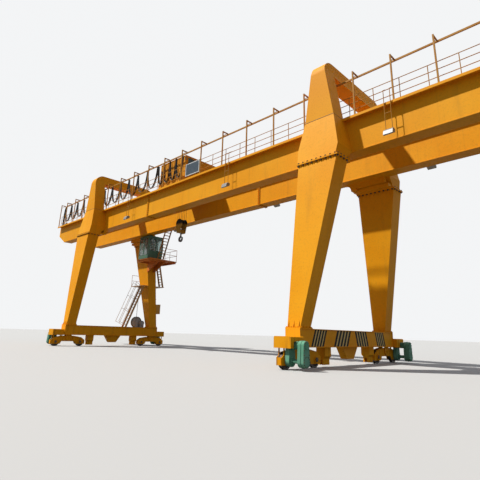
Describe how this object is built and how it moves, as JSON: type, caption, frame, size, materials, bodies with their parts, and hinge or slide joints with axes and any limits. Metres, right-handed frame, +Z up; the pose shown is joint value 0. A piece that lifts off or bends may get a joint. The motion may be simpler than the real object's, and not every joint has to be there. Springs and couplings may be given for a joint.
{
  "type": "rail mounted double girder gantry crane",
  "caption": "Yellow double box girder gantry crane with sloping A legs, saddle yokes, rail bogies, trolley with machine house, hook block, operator cab and stairs.",
  "frame": {"origin": "under the crane's centre, level with the lowest point of the wheel flanges", "axes": "X along the girders (+X the end without the cab), Y the travel direction, Z up"},
  "size_m": [38.9, 9.664, 13.83],
  "materials": {
    "crane_paint": "weathered satin paint",
    "rail_paint": "weathered satin paint",
    "platform_paint": "weathered satin paint",
    "box_paint": "satin paint",
    "block_paint": "worn satin paint",
    "bare_steel": "dull and greasy",
    "cable_black": "matte",
    "lamp_grey": "satin",
    "sign_slate": "satin",
    "cab_green": "satin",
    "window_glass": "clear",
    "drive_green": "satin",
    "reel_grey": "satin"
  },
  "bodies": {
    "crane": {"girder_front": "crane_paint", "girder_back": "crane_paint", "trolley_rails": "bare_steel", "yoke_near": "crane_paint", "yoke_far": "crane_paint", "knees_near": "crane_paint", "knees_far": "crane_paint", "leg_near_front": "crane_paint", "leg_near_back": "crane_paint", "leg_far_front": "crane_paint", "leg_far_back": "crane_paint", "sill_near": "crane_paint", "sill_far": "crane_paint", "rail_clamps": "bare_steel", "bogie_near_front": "crane_paint", "bogie_near_back": "crane_paint", "bogie_far_front": "crane_paint", "bogie_far_back": "crane_paint", "travel_drives": "drive_green", "handrail_front": "rail_paint", "handrail_back": "rail_paint", "festoon_track": "rail_paint", "festoon_cable": "cable_black", "lamp_hangers": "rail_paint", "floodlights": "lamp_grey", "capacity_sign": "sign_slate", "stair_lower": "rail_paint", "leg_landing": "rail_paint", "stair_middle": "rail_paint", "cab_platform": "platform_paint", "stair_upper": "rail_paint", "cab_shell": "cab_green", "cab_glass": "window_glass", "reel_bracket": "crane_paint", "electric_box": "box_paint"},
    "trolley": {"trolley_frame": "crane_paint", "machine_house": "crane_paint", "crown_sheaves": "bare_steel", "hoist_ropes": "cable_black"},
    "trolley_wheels_near": {"trolley_wheelset_near": "bare_steel"},
    "trolley_wheels_far": {"trolley_wheelset_far": "bare_steel"},
    "block": {"hook_block": "block_paint"},
    "hook": {"hook": "block_paint"},
    "reel": {"cable_reel": "reel_grey"},
    "wheel_near_front_outer": {"wheel_near_front_outer": "bare_steel"},
    "wheel_near_front_inner": {"wheel_near_front_inner": "bare_steel"},
    "wheel_near_back_outer": {"wheel_near_back_outer": "bare_steel"},
    "wheel_near_back_inner": {"wheel_near_back_inner": "bare_steel"},
    "wheel_far_front_outer": {"wheel_far_front_outer": "bare_steel"},
    "wheel_far_front_inner": {"wheel_far_front_inner": "bare_steel"},
    "wheel_far_back_outer": {"wheel_far_back_outer": "bare_steel"},
    "wheel_far_back_inner": {"wheel_far_back_inner": "bare_steel"}
  },
  "joints": [
    {"name": "trolley_travel", "type": "slide", "parent": "crane", "child": "trolley", "axis": [1, 0, 0], "range_m": [-11, 19.45]},
    {"name": "hoist", "type": "slide", "parent": "trolley", "child": "block", "axis": [0, 0, 1], "range_m": [-6.9, 1.3], "deforming": ["hoist_ropes"]},
    {"name": "hook_swivel", "type": "hinge", "parent": "block", "child": "hook", "pos_m": [-2.37, 0, 8.07], "axis": [0, 0, 1], "continuous": true},
    {"name": "trolley_roll_near", "type": "hinge", "parent": "trolley", "child": "trolley_wheels_near", "pos_m": [-0.78, 0, 11.0173], "axis": [0, 1, 0], "continuous": true},
    {"name": "trolley_roll_far", "type": "hinge", "parent": "trolley", "child": "trolley_wheels_far", "pos_m": [-2.98, 0, 11.0173], "axis": [0, 1, 0], "continuous": true},
    {"name": "reel_turn", "type": "hinge", "parent": "crane", "child": "reel", "pos_m": [-11.04, 2.4, 1.9], "axis": [1, 0, 0], "continuous": true},
    {"name": "roll_near_front_outer", "type": "hinge", "parent": "crane", "child": "wheel_near_front_outer", "pos_m": [10.5, -4.48, 0.31], "axis": [1, 0, 0], "continuous": true},
    {"name": "roll_near_front_inner", "type": "hinge", "parent": "crane", "child": "wheel_near_front_inner", "pos_m": [10.5, -2.65, 0.31], "axis": [1, 0, 0], "continuous": true},
    {"name": "roll_near_back_outer", "type": "hinge", "parent": "crane", "child": "wheel_near_back_outer", "pos_m": [10.5, 4.48, 0.31], "axis": [1, 0, 0], "continuous": true},
    {"name": "roll_near_back_inner", "type": "hinge", "parent": "crane", "child": "wheel_near_back_inner", "pos_m": [10.5, 2.65, 0.31], "axis": [1, 0, 0], "continuous": true},
    {"name": "roll_far_front_outer", "type": "hinge", "parent": "crane", "child": "wheel_far_front_outer", "pos_m": [-10.5, -4.48, 0.31], "axis": [1, 0, 0], "continuous": true},
    {"name": "roll_far_front_inner", "type": "hinge", "parent": "crane", "child": "wheel_far_front_inner", "pos_m": [-10.5, -2.65, 0.31], "axis": [1, 0, 0], "continuous": true},
    {"name": "roll_far_back_outer", "type": "hinge", "parent": "crane", "child": "wheel_far_back_outer", "pos_m": [-10.5, 4.48, 0.31], "axis": [1, 0, 0], "continuous": true},
    {"name": "roll_far_back_inner", "type": "hinge", "parent": "crane", "child": "wheel_far_back_inner", "pos_m": [-10.5, 2.65, 0.31], "axis": [1, 0, 0], "continuous": true}
  ]
}
